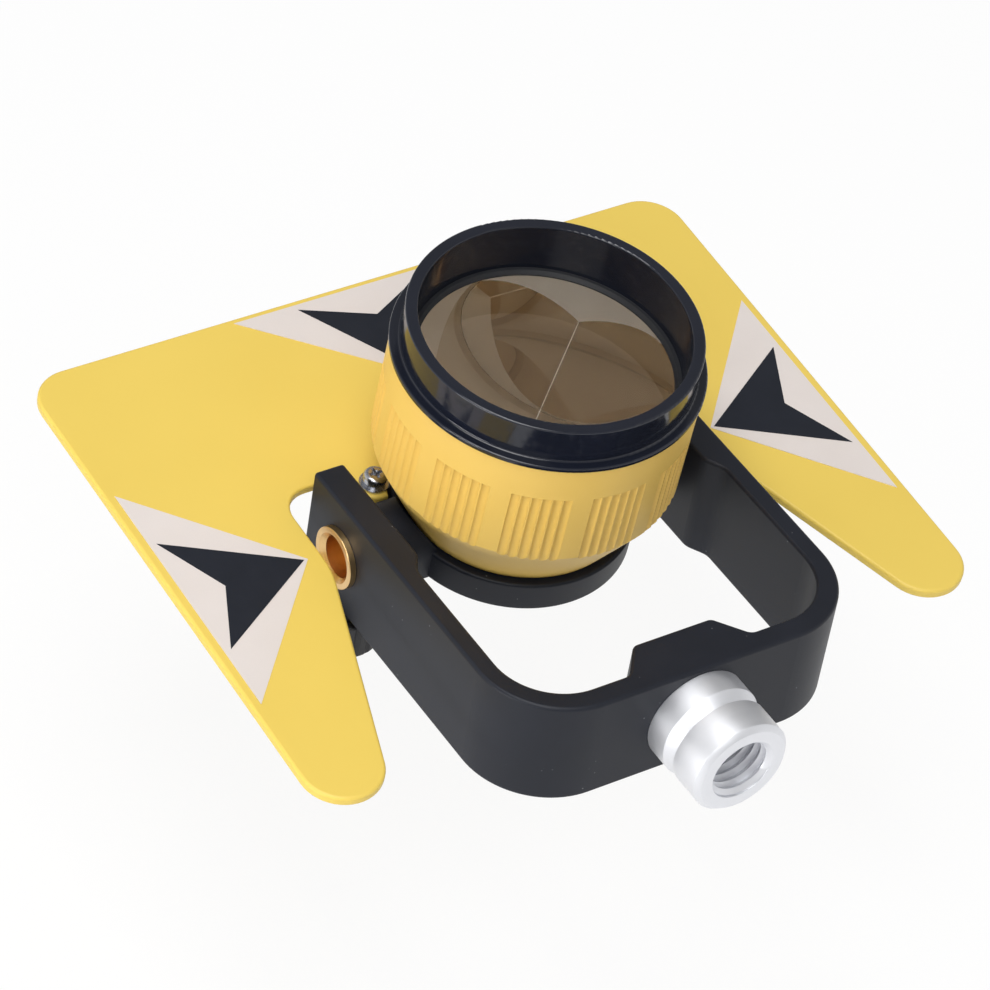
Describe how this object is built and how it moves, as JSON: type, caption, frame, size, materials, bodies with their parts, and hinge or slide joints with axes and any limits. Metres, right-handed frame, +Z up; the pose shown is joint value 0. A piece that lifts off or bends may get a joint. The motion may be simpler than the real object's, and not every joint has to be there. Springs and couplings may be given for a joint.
{
  "type": "survey prism",
  "caption": "Round corner-cube prism in a screw-in yellow canister, with a target plate, tilting in a U-shaped yoke that screws onto a survey pole.",
  "frame": {"origin": "centre of the adapter's end face, on the pole thread's axis", "axes": "+Z up along the pole thread's axis, +X along the tilt axis, the prism looks along -Y; the tilt axis is 95.8 mm above the origin"},
  "size_m": [0.178, 0.0854, 0.1695],
  "materials": {
    "black_anodised": "satin black anodised aluminium",
    "turned_aluminium": "turned, fine rings",
    "steel": "bright plated",
    "yellow_paint": "satin yellow powder coat on aluminium plate",
    "yellow_coat": "satin yellow coat on turned aluminium",
    "brass": "turned",
    "white_nylon": "matte",
    "white_film": "retroreflective film, satin",
    "black_print": "satin ink",
    "black_rubber": "matte",
    "black_gloss_plastic": "glossy, moulded",
    "black_plastic": "satin",
    "glass": "polished",
    "copper_coating": "bare rear coating"
  },
  "bodies": {
    "mount_yoke": {"yoke": "black_anodised", "thread_adapter": "turned_aluminium", "adapter_screw": "steel", "adapter_lock_washer": "steel"},
    "tilting_target": {"tilt_frame": "black_anodised", "target_plate": "yellow_paint", "plate_screws": "steel", "plate_spring_washers": "steel", "plate_flat_washers": "steel", "trunnion_left": "brass", "trunnion_right": "brass", "thrust_washer_left": "white_nylon", "thrust_washer_right": "white_nylon", "reflector_left": "white_film", "reflector_top": "white_film", "reflector_right": "white_film", "arrow_left": "black_print", "arrow_top": "black_print", "arrow_right": "black_print"},
    "canister_travel": {"canister_seal": "black_rubber"},
    "canister_unit": {"canister": "yellow_coat", "front_bezel": "black_gloss_plastic", "canister_o_ring": "black_rubber", "retaining_ring": "black_plastic", "glass_gasket": "black_rubber", "prism_glass": "glass", "prism_coating": "copper_coating", "prism_seat": "black_plastic", "rear_cap": "black_plastic"},
    "lock_pad": {"clamp_pad": "brass"},
    "lock_knob": {"lock_stud": "steel", "lock_knob": "black_plastic"}
  },
  "joints": [
    {"name": "tilt", "type": "hinge", "parent": "mount_yoke", "child": "tilting_target", "pos_m": [0, 0, 0.0958], "axis": [1, 0, 0], "range_deg": [-66, 39]},
    {"name": "canister_rise", "type": "slide", "parent": "tilting_target", "child": "canister_travel", "axis": [0, -0.9971, -0.0767], "range_m": [0, 0.005]},
    {"name": "canister_turn", "type": "hinge", "parent": "canister_travel", "child": "canister_unit", "pos_m": [0, 0, 0.0958], "axis": [0, -0.9971, -0.0767], "range_deg": [0, 1800]},
    {"name": "lock_travel", "type": "slide", "parent": "mount_yoke", "child": "lock_pad", "axis": [0, 1, 0], "range_m": [-0.0002, 0.0012]},
    {"name": "lock_turn", "type": "hinge", "parent": "lock_pad", "child": "lock_knob", "pos_m": [-0.0427, 0, 0.0958], "axis": [0, 1, 0], "range_deg": [-90, 540]}
  ],
  "couplings": [
    {"joint": "canister_turn", "follows": "canister_rise", "rad_per_m": 6283.2},
    {"joint": "lock_turn", "follows": "lock_travel", "rad_per_m": 7854}
  ]
}
